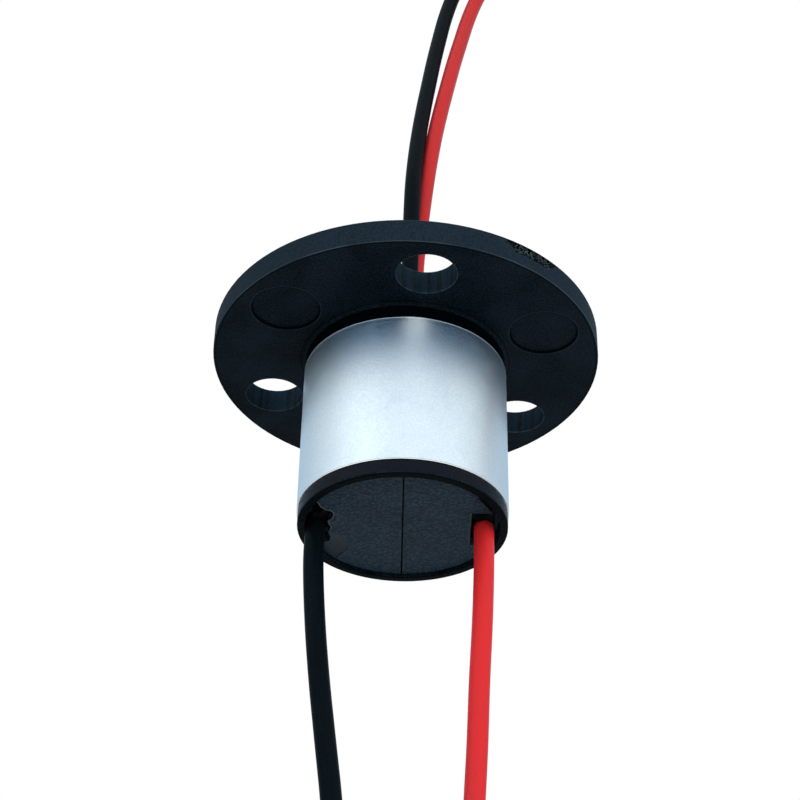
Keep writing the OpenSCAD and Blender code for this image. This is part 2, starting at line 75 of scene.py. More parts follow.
class Value:
    """An output socket. Arithmetic on it adds Math nodes to its tree."""

    def __init__(self, tree, socket):
        self.tree, self.socket = tree, socket

    def maths(self, operation, *values):
        return self.tree.node("ShaderNodeMath", {"operation": operation}, dict(enumerate(values)))

    def __add__(self, other):
        return self.maths("ADD", self, other)

    def __sub__(self, other):
        return self.maths("SUBTRACT", self, other)

    def __rsub__(self, other):
        return self.maths("SUBTRACT", other, self)

    def __mul__(self, other):
        return self.maths("MULTIPLY", self, other)

    def __truediv__(self, other):
        return self.maths("DIVIDE", self, other)

    def __rtruediv__(self, other):
        return self.maths("DIVIDE", other, self)

    def __pow__(self, other):
        return self.maths("POWER", self, other)

    __radd__ = __add__
    __rmul__ = __mul__

    def sine(self):
        return self.maths("SINE", self)

    def size(self):
        return self.maths("ABSOLUTE", self)

    def most(self, other):
        return self.maths("MAXIMUM", self, other)

    def rise(self, low, high):
        """0 below low, 1 above high, and smooth between them."""
        return self.tree.node("ShaderNodeMapRange", {"interpolation_type": "SMOOTHSTEP"},
                              {0: self, 1: low, 2: high})

    def band(self, middle, half, soft):
        """1 within half of middle, and 0 beyond half + soft."""
        return 1 - (self - middle).size().rise(half, half + soft)


class Tree:
    """Adds nodes to a tree of any kind."""

    def __init__(self, node_tree):
        self.nodes, self.links = node_tree.nodes, node_tree.links

    def node(self, kind, settings=None, sockets=None, output=0):
        """A node with its settings, then its sockets' values, links or lists of links. Gives an output."""
        new = self.nodes.new(kind)
        for name, value in (settings or {}).items():
            setattr(new, name, value)
        for key, value in (sockets or {}).items():
            if isinstance(value, Value):
                self.links.new(value.socket, new.inputs[key])
            elif isinstance(value, list):
                for each in value:
                    self.links.new(each.socket, new.inputs[key])
            else:
                new.inputs[key].default_value = value
        return Value(self, new.outputs[output]) if new.outputs else None

    def split(self, vector):
        """The three numbers of a vector."""
        parts = self.node("ShaderNodeSeparateXYZ", None, {0: vector}).socket.node.outputs
        return [Value(self, part) for part in parts]

    def mix(self, share, first, second):
        """A colour between two, each a link or three numbers."""
        pair = [(*c, 1) if isinstance(c, tuple) and len(c) == 3 else c for c in (first, second)]
        return self.node("ShaderNodeMix", {"data_type": "RGBA"},
                         {0: share, 6: pair[0], 7: pair[1]}, output=2)


class Finish(Tree):
    """A material with one Principled shader and the patterns of its surface."""

    def __init__(self, name, color, roughness, metallic=0.0, **constants):
        self.material = bpy.data.materials.new(name)
        self.material.use_nodes = True
        super().__init__(self.material.node_tree)
        self.nodes.clear()
        plain = self.node("ShaderNodeBsdfPrincipled")
        self.node("ShaderNodeOutputMaterial", None, {"Surface": plain})
        self.shader, self.surface = plain.socket.node, plain.socket.links[0].to_socket
        self.set("Base Color", (*color, 1))
        self.set("Roughness", roughness)
        self.set("Metallic", metallic)
        for name, value in constants.items():
            self.set(name.replace("_", " "), value)
        self.place = self.node("ShaderNodeTexCoord", output="Object")

    def set(self, socket, value):
        """Gives a socket of the shader a number, a colour or a link."""
        if isinstance(value, Value):
            self.links.new(value.socket, self.shader.inputs[socket])
        else:
            self.shader.inputs[socket].default_value = value

    def stretched(self, x, y, z):
        """The place with each axis scaled, which draws a pattern out where a scale is small."""
        return self.node("ShaderNodeVectorMath", {"operation": "MULTIPLY"}, {0: self.place, 1: (x, y, z)})

    def noise(self, size, detail=2.0, place=None, twist=0.0):
        """Lumps about size metres across, from 0 to 1 and mostly near 0.5."""
        return self.node("ShaderNodeTexNoise", None, {
            "Vector": place or self.place, "Scale": 1 / size, "Detail": detail, "Distortion": twist})

    def cells(self, size, place):
        """Distance from the middle of the nearest cell, in cells."""
        return self.node("ShaderNodeTexVoronoi", None, {"Vector": place, "Scale": 1 / size},
                         output="Distance")

    def relief(self, height, depth):
        """Raises the surface by height times depth metres, over any relief before it."""
        sockets = {"Height": height, "Distance": depth, "Strength": 1.0}
        if self.shader.inputs["Normal"].links:
            sockets["Normal"] = Value(self, self.shader.inputs["Normal"].links[0].from_socket)
        self.set("Normal", self.node("ShaderNodeBump", None, sockets))

    def corner(self, across, radius, height, level, width=0.03 * MM):
        """1 on a round edge, where a radius and a height meet, and 0 elsewhere."""
        return across.band(radius, width, 0.025 * MM) * height.band(level, width, 0.025 * MM)

    def polar(self, centre=(0, 0)):
        """Distance from an upright axis, and the direction from it in radians."""
        x, y, _ = self.split(self.place)
        x, y = x - centre[0], y - centre[1]
        return (x * x + y * y) ** 0.5, y.maths("ARCTAN2", y, x)


class Pattern(Tree):
    """A geometry tree with named inputs, which grow() runs once on a mesh."""

    def __init__(self, name, inputs):
        self.group = bpy.data.node_groups.new(name, "GeometryNodeTree")
        super().__init__(self.group)
        kinds = {float: "NodeSocketFloat", int: "NodeSocketInt"}
        face = self.group.interface
        face.new_socket("Geometry", in_out="INPUT", socket_type="NodeSocketGeometry")
        face.new_socket("Geometry", in_out="OUTPUT", socket_type="NodeSocketGeometry")
        face.new_socket("Material", in_out="INPUT", socket_type="NodeSocketMaterial")
        for label, value in inputs.items():
            socket = face.new_socket(label, in_out="INPUT", socket_type=kinds[type(value)])
            socket.default_value = value
        self.given = self.nodes.new("NodeGroupInput")
        self.result = self.nodes.new("NodeGroupOutput")

    def read(self, label):
        return Value(self, self.given.outputs[label])

    def end(self, geometry):
        """Ends the tree with its instances made real and in their material."""
        whole = self.node("GeometryNodeRealizeInstances", None, {0: geometry})
        dressed = self.node("GeometryNodeSetMaterial", None,
                            {"Geometry": whole, "Material": self.read("Material")})
        self.links.new(dressed.socket, self.result.inputs[0])

    def grow(self, name, start, finish, sizes):
        """A plain mesh piece that the tree makes of the start mesh, with sizes by their names."""
        carrier = add(name + "_start", start)
        modifier = carrier.modifiers.new("grow", "NODES")
        modifier.node_group = self.group
        wanted = {**sizes, "Material": finish.material}
        for item in self.group.interface.items_tree:
            if item.in_out == "INPUT" and item.name in wanted:
                modifier[item.identifier] = wanted[item.name]
        bpy.context.view_layer.update()
        graph = bpy.context.evaluated_depsgraph_get()
        mesh = bpy.data.meshes.new_from_object(
            carrier.evaluated_get(graph), preserve_all_data_layers=True, depsgraph=graph)
        bpy.data.objects.remove(carrier)
        mesh.materials.clear()
        mesh.materials.append(finish.material)
        return add(name, mesh)


def add(name, data):
    """An object of the scene that sits at the origin."""
    made = bpy.data.objects.new(name, data)
    scene.collection.objects.link(made)
    return made


def smooth(mesh, sharp=180):
    """Smooth shading, broken where faces meet at more than sharp degrees."""
    for polygon in mesh.polygons:
        polygon.use_smooth = True
    if sharp < 180:
        mesh.set_sharp_from_angle(angle=math.radians(sharp))


def line_mesh(name, points, closed=False):
    """A chain of edges through points."""
    mesh = bpy.data.meshes.new(name)
    last = len(points)
    edges = [(i, i + 1) for i in range(last - 1)] + ([(last - 1, 0)] if closed else [])
    mesh.from_pydata([tuple(p) for p in points], edges, [])
    return mesh


# ---------------------------------------------------------------- camera

CAMERA_AT = Vector((-0.2968, -90.649, -66.250)) * MM
CAMERA_TILT = math.radians(35.038)
CAMERA_ROLL = math.radians(-1.147)
CAMERA_LENS = 80.75


def aim_camera():
    """The camera below the flange, looking up at the end of the barrel."""
    forward = Vector((0, math.cos(CAMERA_TILT), math.sin(CAMERA_TILT)))
    right, down = Vector((1, 0, 0)), Vector((0, math.sin(CAMERA_TILT), -math.cos(CAMERA_TILT)))
    c, s = math.cos(CAMERA_ROLL), math.sin(CAMERA_ROLL)
    x_axis, y_axis = c * right + s * down, s * right - c * down
    data = bpy.data.cameras.new("camera")
    data.lens, data.sensor_width, data.clip_start = CAMERA_LENS, 36, 0.001
    camera = add("camera", data)
    turn = Matrix((x_axis, y_axis, -forward)).transposed().to_4x4()
    camera.matrix_world = Matrix.Translation(CAMERA_AT) @ turn
    scene.camera = camera


aim_camera()


# ---------------------------------------------------------------- finishes

# Flange: the first hole's direction, the ejector marks' radius, the gate scar. Label: its seam
HOLE_TURN = math.radians(-83)
MARK_R = 2.05 * MM
SCAR_MIDDLE, SCAR_REACH = math.radians(-52.2), math.radians(8.9)
SEAM_AT = math.radians(100)

# End plate: the flake by the left notch, the notch's tip, and a scratch
FLAKE_AT, FLAKE_R = (-4.75 * MM, 2.3 * MM), 1.55 * MM
NOTCH_TIP = (-4.5 * MM, -0.9 * MM)
SCRATCH_AT, SCRATCH_TURN = (-3.8 * MM, 3.45 * MM), math.radians(63.26)


def moulded(name, color, roughness, grain, depth, specular=0.12, vary=(0.72, 1.45)):
    """Moulded plastic: fine grain, faint flow of tone and dull rubbed places."""
    f = Finish(name, color, roughness, Specular_IOR_Level=specular)
    flow = f.noise(4 * MM, 4, twist=0.6)
    fine = f.noise(grain, 3)
    rubbed = f.noise(1.6 * MM, 5).rise(0.58, 0.72)
    dark, pale = (tuple(c * k for c in color) for k in vary)
    f.set("Base Color", f.mix(flow.rise(0.3, 0.7) * 0.75 + fine * 0.25, dark, pale))
    f.set("Roughness", roughness + (fine - 0.5) * 0.18 - rubbed * 0.1)
    f.relief(fine, depth)
    f.relief(flow, depth * 2)
    return f


def hole_walls(f, height, holes):
    """The mounting holes' walls, and the round edges at both their mouths."""
    wall, mouth = 0.0, 0.0
    for centre, radius in holes:
        gap, _ = f.polar(centre)
        wall = wall + gap.band(0, radius + 0.004 * MM, 0.02 * MM)
        mouth = mouth + f.corner(gap, radius, height, 0) + f.corner(gap, radius, height, FLANGE_T)
    return wall, mouth


def face_rings(f, out, height, flow, marks):
    """Dark rings on the seating face, where the mould's pins and insert met it, and painted highlights on
    their burrs.
    """
    insert_r = BARREL_R + 0.3 * MM
    ring = out.band(insert_r, 0.06 * MM, 0.05 * MM) * 0.5
    burr = out.band(insert_r + 0.08 * MM, 0.015 * MM, 0.03 * MM) * flow.rise(0.4, 0.6)
    for centre, radius in marks:
        gap, _ = f.polar(centre)
        ring = ring + gap.band(radius, 0.035 * MM, 0.03 * MM)
        burr = burr + gap.band(radius + 0.08 * MM, 0.012 * MM, 0.025 * MM)
    low = height.band(0.07 * MM, 0.09 * MM, 0.02 * MM)
    return ring * low, burr * low


def gate_scar(f, out, angle, height):
    """Torn plastic in the scar on the rim, ragged below and drawn up at both ends."""
    shreds = f.noise(0.3 * MM, 5, twist=1.4)
    share = (angle - SCAR_MIDDLE) / SCAR_REACH
    ends = share * share
    sill = (0.68 + ends * ends * 0.55 + shreds * 0.3) * MM
    torn = (height - sill).rise(0, 0.05 * MM) * (1 - height.rise(1.5 * MM, 1.53 * MM))
    torn = torn * (1 - share.size().rise(1.0, 1.06)) * out.rise(11.7 * MM, 11.8 * MM)
    return torn, shreds


def housing_finish(name, holes, marks):
    """Moulded flange and barrel: matt faces, a glossier barrel and hole walls, a torn gate scar, with painted
    shade on the seating face, in hollows and at the barrel, and painted highlights and reflections on edges,
    burrs and hole walls.
    """
    f = Finish(name, (0.01, 0.018, 0.029), 0.56, Specular_IOR_Level=0.02, Coat_Roughness=0.22)
    out, angle = f.polar()
    height = f.split(f.place)[2]
    flow = f.noise(4 * MM, 4, twist=0.6)
    tone = flow.rise(0.3, 0.7)
    grain = f.noise(0.14 * MM, 4).rise(0.4, 0.6)
    speck = f.noise(0.09 * MM, 2).rise(0.6, 0.7)
    drawn = f.noise(0.35 * MM, 4, f.stretched(1, 1, 0.04)).rise(0.4, 0.62)

    # Flange: its rim, the rim's two edges with a painted highlight, and a thin line of painted shade inside
    # the lower one
    side = out.rise(FLANGE_R - 0.06 * MM, FLANGE_R - 0.01 * MM)
    edge = f.corner(out, FLANGE_R, height, 0) + f.corner(out, FLANGE_R, height, FLANGE_T)
    edge_shade_line = out.band(FLANGE_R - 0.12 * MM, 0.03 * MM, 0.05 * MM) * height.band(0, 0.02 * MM, 0.02 * MM)
    wall, mouth = hole_walls(f, height, holes)
    ring, burr = face_rings(f, out, height, flow, marks)
    torn, shreds = gate_scar(f, out, angle, height)

    # Barrel: its outside, with painted shade near the flange, and its end: a darkened ring, painted shade on
    # the wall inside and a painted highlight on the round edge
    barrel = out.band(BARREL_R, 0.03 * MM, 0.02 * MM)
    barrel = barrel * height.band(BARREL_END / 2, 5.8 * MM, 0.1 * MM)
    root = barrel * height.rise(-2 * MM, -1.2 * MM)
    end = 1 - height.rise(BARREL_END + 0.03 * MM, BARREL_END + 0.07 * MM)
    end = end * out.rise(PLATE_R - 0.04 * MM, PLATE_R - 0.01 * MM)
    inside = out.band(PLATE_R, 0.02 * MM, 0.02 * MM) * (1 - height.rise(-11.7 * MM, -11.6 * MM))
    lip = f.corner(out, PLATE_R, height, BARREL_END, 0.02 * MM)

    # Painted shade: the seating face gets a darker colour than the rim, for the lesser light that reaches a
    # downward face.
    base = f.mix(tone * 0.45 + grain * 0.55, (0.0004, 0.0022, 0.0038), (0.0105, 0.0205, 0.03))
    base = f.mix(speck * 0.55, base, (0.021, 0.036, 0.049))
    rim = f.mix(tone * 0.2 + grain * 0.8, (0.0085, 0.016, 0.0235), (0.0145, 0.0265, 0.04))
    base = f.mix(side, base, f.mix(speck * 0.25, rim, (0.022, 0.038, 0.053)))
    # Painted shade: a thin dark line on the face just inside the lower edge.
    base = f.mix(edge_shade_line * 0.7, base, (0.0005, 0.0012, 0.002))
    base = f.mix(barrel * 0.92, base, (0.0003, 0.0026, 0.0075))
    # Painted reflection: the hole walls lighter and bluer in upright streaks.
    base = f.mix(wall * drawn * 0.6, base, (0.009, 0.034, 0.062))
    # Painted shade near the flange and on the wall inside the barrel's end; the ring at the end is darkened
    # as well.
    base = f.mix((root * 0.85).most(end.most(inside) * 0.9), base, (0.0004, 0.0012, 0.0018))
    # Painted highlight: a lighter line on the round edge at the barrel's end.
    base = f.mix(lip * (0.2 + flow * 0.5), base, (0.03, 0.045, 0.06))
    base = f.mix(ring * 0.8, base, (0.0005, 0.0012, 0.002))
    # Painted highlight: lighter lines on the burrs beside the dark rings.
    base = f.mix(burr * (0.3 + speck * 0.5), base, (0.05, 0.075, 0.1))
    # Painted highlight: lighter colour on the rim's two round edges.
    base = f.mix(edge * (1 - torn) * (flow.rise(0.35, 0.65) * 0.5 + 0.3), base, (0.06, 0.09, 0.12))
    # Painted highlight: lighter colour on the round edges at the hole mouths.
    base = f.mix(mouth * (drawn * 0.6 + 0.3), base, (0.05, 0.08, 0.11))
    # Painted shade: the scar's hollows darkened between the torn shreds.
    base = f.mix(torn * shreds.rise(0.3, 0.4) * 0.9, base, (0.0006, 0.0014, 0.002))
    f.set("Base Color", base)
    f.set("Roughness", 0.56 + (grain - 0.5) * 0.2 - barrel * 0.2 + wall * 0.12)
    f.set("Coat Weight", (wall * 0.05 + barrel * 0.16) * (1 - root))
    f.relief(grain * (1 - side * 0.5), 14e-6)
    f.relief(flow, 8e-6)
    f.relief(1 - ring, 30e-6)
    f.relief(wall * drawn, 20e-6)
    f.relief(torn * shreds, 160e-6)
    return f


def metal(name, color, roughness, streak=(1, 1, 1), size=0.12 * MM, depth=0.5e-6):
    """Bare metal with tool marks drawn out along one axis, and faint tarnish."""
    f = Finish(name, color, roughness, 1.0)
    marks = f.noise(size, 4, f.stretched(*streak))
    tarnish = f.noise(1.1 * MM, 4).rise(0.35, 0.75)
    f.set("Base Color", f.mix(tarnish * 0.5, color, tuple(c * 0.72 for c in color)))
    f.set("Roughness", roughness + (marks - 0.5) * 0.22 + tarnish * 0.08)
    f.relief(marks, depth)
    return f


def lead_finish(name, color, scuff, specular, strands=7, lay=9 * MM):
    """Glossy insulation, with the twist of the strands just showing through it."""
    f = Finish(name, color, 0.3, Specular_IOR_Level=specular)
    around = f.node("ShaderNodeAttribute", {"attribute_name": "around"}, output="Vector")
    along = f.node("ShaderNodeAttribute", {"attribute_name": "along"}, output="Fac")
    across_x, across_y, _ = f.split(around)
    angle = across_y.maths("ARCTAN2", across_y, across_x)
    twist = (angle * strands + along * (2 * math.pi * strands / lay)).sine()
    smear = f.noise(0.9 * MM, 4, f.stretched(1, 1, 0.16))
    dust = f.noise(0.2 * MM, 3).rise(0.62, 0.8)
    mottle = f.noise(0.13 * MM, 2).rise(0.35, 0.65)
    f.set("Base Color", f.mix(smear.rise(0.35, 0.8) * 0.4 + dust * 0.25 + mottle * 0.3, color, scuff))
    f.set("Roughness", 0.26 + smear * 0.14 + dust * 0.15)
    f.relief(twist, 2.5e-6)
    f.relief(smear, 6e-6)
    return f


def foil_finish():
    """Satin foil: sandy grain, upright hairlines, dull finger marks, cut edges with a painted highlight, and
    a seam.
    """
    f = Finish("label_foil", (0.80, 0.9, 0.95), 0.42, 1.0)
    height = f.split(f.place)[2]
    edge = height.band(LABEL_TOP, 0.04 * MM, 0.03 * MM) + height.band(LABEL_FOOT, 0.05 * MM, 0.03 * MM)
    hair = f.noise(0.05 * MM, 3, f.stretched(1, 1, 0.03))
    sand = f.noise(0.13 * MM, 2).rise(0.36, 0.64)
    touch = f.noise(2.2 * MM, 4, twist=1.2).rise(0.45, 0.75)
    _, angle = f.polar()
    seam = (angle + height * 3).band(SEAM_AT, 0.004, 0.006)
    base = f.mix(touch * 0.3 + hair * 0.15, (0.86, 0.955, 1.0), (0.75, 0.86, 0.93))
    base = f.mix(sand * 0.16, base, (0.5, 0.66, 0.78))
    base = f.mix(seam * 0.6, base, (0.2, 0.25, 0.3))
    # Painted highlight: the cut edges lighter.
    f.set("Base Color", f.mix(edge * 0.9, base, (0.98, 0.99, 1.0)))
    f.set("Roughness", 0.38 + (hair - 0.5) * 0.1 + sand * 0.06 + touch * 0.05 - edge * 0.1)
    f.relief(hair, 0.6e-6)
    f.relief(sand, 2.2e-6)
    f.relief(f.noise(0.06 * MM, 1), 1.6e-6)
    f.relief(edge, 15e-6)
    f.relief(angle.rise(SEAM_AT, SEAM_AT + 0.01), 30e-6)
    f.relief(f.noise(4 * MM, 1), 12e-6)
    return f


def broken_flake(f, under):
    """Flake broken off beside the left notch: smooth inside, with a ridge round it that gets a painted
    highlight.
    """
    gap, _ = f.polar(FLAKE_AT)
    flake = (1 - gap.rise(FLAKE_R - 0.07 * MM, FLAKE_R + 0.01 * MM)) * under
    return flake, gap.band(FLAKE_R, 0.015 * MM, 0.05 * MM) * under


def fan_rays(f, under):
    """Rays that spread from the notch's tip, and the lip that they start at, as masks for painted light and
    shade.
    """
    reach, ray = f.polar(NOTCH_TIP)
    spread = f.node("ShaderNodeCombineXYZ", None, {0: ray, 1: reach * 120.0})
    rays = f.node("ShaderNodeTexNoise", None, {"Vector": spread, "Scale": 9.0, "Detail": 3.0})
    near = (1 - reach.rise(0.6 * MM, 1.5 * MM)) * reach.rise(0.35 * MM, 0.5 * MM) * under
    return rays, near, reach.band(0.72 * MM, 0.05 * MM, 0.12 * MM) * under


def plate_scratch(x, y, under):
    """A short scratch on the end plate, on its way to the rim."""
    x, y = x - SCRATCH_AT[0], y - SCRATCH_AT[1]
    along = x * math.cos(SCRATCH_TURN) - y * math.sin(SCRATCH_TURN)
    across = x * math.sin(SCRATCH_TURN) + y * math.cos(SCRATCH_TURN)
    return across.band(0, 0.025 * MM, 0.03 * MM) * along.band(0, 0.4 * MM, 0.2 * MM) * under


def block_finish():
    """End blocks: coarse pebble grain, and by the broken notch rays with painted light and shade, painted
    highlights on edges, and a scratch.
    """
    f = Finish("block_plastic", (0.02, 0.036, 0.054), 0.5, Specular_IOR_Level=0.06)
    flow = f.noise(3 * MM, 4, twist=0.8)
    shift = f.node("ShaderNodeTexNoise", None, {"Vector": f.place, "Scale": 9 / MM, "Detail": 2.0},
                   output="Color")
    shift = f.node("ShaderNodeVectorMath", {"operation": "SCALE"}, {0: shift, "Scale": 0.12 * MM})
    uneven = f.node("ShaderNodeVectorMath", {"operation": "ADD"}, {0: f.place, 1: shift})
    pebble = 1 - f.cells(0.24 * MM, uneven)
    grain = f.noise(0.12 * MM, 4)
    x, y, z = f.split(f.place)
    under = 1 - z.rise(PLATE_Z + 0.18 * MM, PLATE_Z + 0.23 * MM)
    flake, ridge = broken_flake(f, under)
    rays, near, lip = fan_rays(f, under)
    scratch = plate_scratch(x, y, under)

    # Painted highlights: lighter lines on the left of the split, and beside the right notch
    split = x.band(-0.1 * MM, 0.02 * MM, 0.04 * MM) * under
    pocket = x.band(3.96 * MM, 0.02 * MM, 0.04 * MM) * y.band(0.15 * MM, 1.8 * MM, 0.05 * MM) * under

    fine = grain.rise(0.36, 0.64)
    bead = pebble.rise(0.35, 0.85)
    tone = flow.rise(0.3, 0.7) * 0.15 + fine * 0.4 + bead * 0.45
    base = f.mix(tone, (0.003, 0.0105, 0.02), (0.031, 0.066, 0.1))
    # Painted light and shade: the rays by the notch's tip darker and lighter in turn.
    base = f.mix(near * rays.rise(0.52, 0.6) * 0.85, base, (0.003, 0.006, 0.01))
    base = f.mix(near * (1 - rays.rise(0.38, 0.44)) * 0.5, base, (0.05, 0.078, 0.095))
    base = f.mix(flake * 0.55, base, (0.012, 0.02, 0.026))
    # Painted highlight: lighter colour on the flake's ridge and the rays' lip.
    base = f.mix((ridge * 0.5).most(lip * 0.35), base, (0.06, 0.085, 0.1))
    # Painted highlights along the split and beside the right notch.
    base = f.mix(split * flow.rise(0.3, 0.7) * 0.5, base, (0.05, 0.07, 0.085))
    base = f.mix(pocket * 0.5, base, (0.05, 0.075, 0.09))
    base = f.mix(scratch * 0.9, base, (0.002, 0.003, 0.004))
    f.set("Base Color", base)
    f.set("Roughness", 0.5 + (grain - 0.5) * 0.2 - flake * 0.1)
    bare = 1 - flake
    f.relief(pebble * bare, 28e-6)
    f.relief(fine * bare, 12e-6)
    f.relief(near * rays, 50e-6)
    f.relief(lip.most(ridge), 40e-6)
    f.relief(1 - scratch, 60e-6)
    return f


def flange_circles():
    """Centres and radii of the mounting holes, and of the ejector marks between them."""
    holes = mount_dims["flange_holes"]
    count, reach = holes["count"], holes["pcd_mm"] / 2 * MM
    turns = [HOLE_TURN + math.pi * k / count for k in range(2 * count)]
    spots = [(reach * math.cos(t), reach * math.sin(t)) for t in turns]
    return ([(spot, holes["hole_r_mm"] * MM) for spot in spots[::2]],
            [(spot, MARK_R) for spot in spots[1::2]])


FINISHES = {
    "housing_plastic": housing_finish("housing_plastic", *flange_circles()),
    "label_foil": foil_finish(),
    "block_plastic": block_finish(),
    # Painted highlight: the notch burr's plastic is lighter than the end blocks', so its bead shows as a
    # light line.
    "torn_plastic": moulded("torn_plastic", (0.045, 0.065, 0.08), 0.45, 0.1 * MM, 4e-6, 0.3),
    "gate_crumbs": moulded("gate_crumbs", (0.016, 0.032, 0.036), 0.4, 0.08 * MM, 4e-6, 0.35),
    "brass": metal("brass", (0.72, 0.5, 0.2), 0.32, (1, 1, 0.08)),
    "brush_alloy": metal("brush_alloy", (0.82, 0.63, 0.3), 0.22, (0.1, 1, 1), 0.04 * MM),
    "bearing_steel": metal("bearing_steel", (0.56, 0.57, 0.59), 0.2, (0.1, 0.1, 1), 0.05 * MM),
    "ball_steel": metal("ball_steel", (0.66, 0.68, 0.7), 0.08, size=0.3 * MM, depth=0.1e-6),
    "cage_plastic": moulded("cage_plastic", (0.6, 0.53, 0.38), 0.5, 0.1 * MM, 3e-6, 0.4),
    "rotor_plastic": moulded("rotor_plastic", (0.016, 0.02, 0.026), 0.48, 0.12 * MM, 4e-6, 0.3),
    "ring_gold": metal("ring_gold", (0.83, 0.6, 0.24), 0.24, (0.05, 0.05, 1), 0.05 * MM),
    "barrier_plastic": moulded("barrier_plastic", (0.03, 0.036, 0.045), 0.5, 0.1 * MM, 4e-6, 0.3),
    "spacer_metal": metal("spacer_metal", (0.5, 0.52, 0.54), 0.3, (0.1, 0.1, 1), 0.06 * MM),
    "clip_steel": metal("clip_steel", (0.28, 0.29, 0.31), 0.36, size=0.1 * MM),
    # Painted shade: a near-black fill that stands for the deep shade in the lead notches.
    "potting": moulded("potting", (0.0004, 0.0008, 0.0012), 0.35, 0.5 * MM, 10e-6, 0.04),
    "tinned_copper": metal("tinned_copper", (0.68, 0.68, 0.66), 0.3, size=0.15 * MM, depth=2e-6),
    "lead_black": lead_finish("lead_black", (0.0013, 0.0036, 0.0054), (0.0045, 0.0082, 0.0115), 0.025),
    "lead_red": lead_finish("lead_red", (0.72, 0.024, 0.028), (0.58, 0.034, 0.038), 0.1),
    "lead_black_thin": lead_finish("lead_black_thin", (0.0012, 0.0035, 0.0055), (0.005, 0.009, 0.0125), 0.02),
    # Painted shade: the rotor's red lead gets a darker red than the stator's.
    "lead_red_thin_shaded": lead_finish("lead_red_thin_shaded", (0.55, 0.026, 0.028), (0.44, 0.034, 0.036), 0.08),
    "tie_nylon": moulded("tie_nylon", (0.78, 0.77, 0.72), 0.42, 0.2 * MM, 4e-6, 0.5,
                         vary=(0.93, 1.05)),
}

for part in frame["record"]["subparts"]:
    frame["nodes"][part["node"]].material_slots[0].material = FINISHES[part["material_slot"]].material


# ---------------------------------------------------------------- leads

def lead_pattern():
    """A round sleeve on a smooth curve through the start mesh's points."""
    p = Pattern("lead_sleeve", {"Radius": 0.6 * MM, "Sides": 40, "Fineness": 4})
    line = p.node("GeometryNodeMeshToCurve", None, {"Mesh": p.read("Geometry")})
    line = p.node("GeometryNodeCurveSplineType", {"spline_type": "CATMULL_ROM"}, {"Curve": line})
    line = p.node("GeometryNodeSetSplineResolution", None, {0: line, "Resolution": p.read("Fineness")})
    line = p.node("GeometryNodeStoreNamedAttribute", {"data_type": "FLOAT"}, {
        "Geometry": line, "Name": "along", "Value": p.node("GeometryNodeSplineParameter", output="Length")})
    ring = p.node("GeometryNodeCurvePrimitiveCircle", {"mode": "RADIUS"},
                  {"Resolution": p.read("Sides"), "Radius": p.read("Radius")})
    ring = p.node("GeometryNodeStoreNamedAttribute", {"data_type": "FLOAT_VECTOR"}, {
        "Geometry": ring, "Name": "around", "Value": p.node("GeometryNodeInputPosition")})
    p.end(p.node("GeometryNodeCurveToMesh", None,
                 {"Curve": line, "Profile Curve": ring, "Fill Caps": True}))
    return p


def smooth_route(points, steps):
    """The route's points with steps - 1 more between each two, on a smooth curve."""
    p = [Vector(q) for q in points]
    p = [p[0]] + p + [p[-1]]
    made = []
    for i in range(1, len(p) - 2):
        a, b, c, d = p[i - 1:i + 3]
        for k in range(steps):
            t = k / steps
            made.append(0.5 * (2 * b + (c - a) * t + (2 * a - 5 * b + 4 * c - d) * t * t
                               + (3 * b - a - 3 * c + d) * t ** 3))
    return made + [p[-1]]


class Hank:
    """Turns of a lead: straight runs drawn in at the tie, and round folds."""

    def __init__(self, x, y, top, fold, run, turns, pitch):
        self.x, self.y, self.top, self.fold = x, y, top, fold
        self.run, self.turns, self.pitch = run, turns, pitch

    def half_width(self, height):
        share = (1 - math.cos(2 * math.pi * height / self.run)) / 2
        return WAIST + (self.fold - WAIST) * share

    def path(self, side, tail):
        """Points from the first run's top. side is -1 on the left and +1 on the right."""
        flat = []
        middle = self.top - self.run / 2
        for turn in range(self.turns + 1):
            heights = [self.run * (0.5 - k / 12) for k in range(12)]
            flat += [(side * self.half_width(h), middle + h) for h in heights]
            if turn == self.turns:
                break
            arc = [math.pi * k / 8 for k in range(8)]
            flat += [(side * self.fold * math.cos(a), middle - self.run / 2 - self.fold * math.sin(a))
                     for a in arc]
            flat += [(-side * self.half_width(h), middle - h) for h in heights]
            flat += [(-side * self.fold * math.cos(a), middle + self.run / 2 + self.fold * math.sin(a))
                     for a in arc]
        flat.append((side * self.fold, middle - self.run / 2))
        gone, lengths = 0.0, [0.0]
        for a, b in zip(flat, flat[1:]):
            gone += math.dist(a, b)
            lengths.append(gone)
        last = self.pitch * (self.turns + 0.33)
        points = [Vector((self.x + px, self.y + last * s / gone, pz))
                  for (px, pz), s in zip(flat, lengths)]
        end = points[-1].copy()
        return points + [end - Vector((0, 0, tail * k / 3)) for k in (1, 2, 3)]
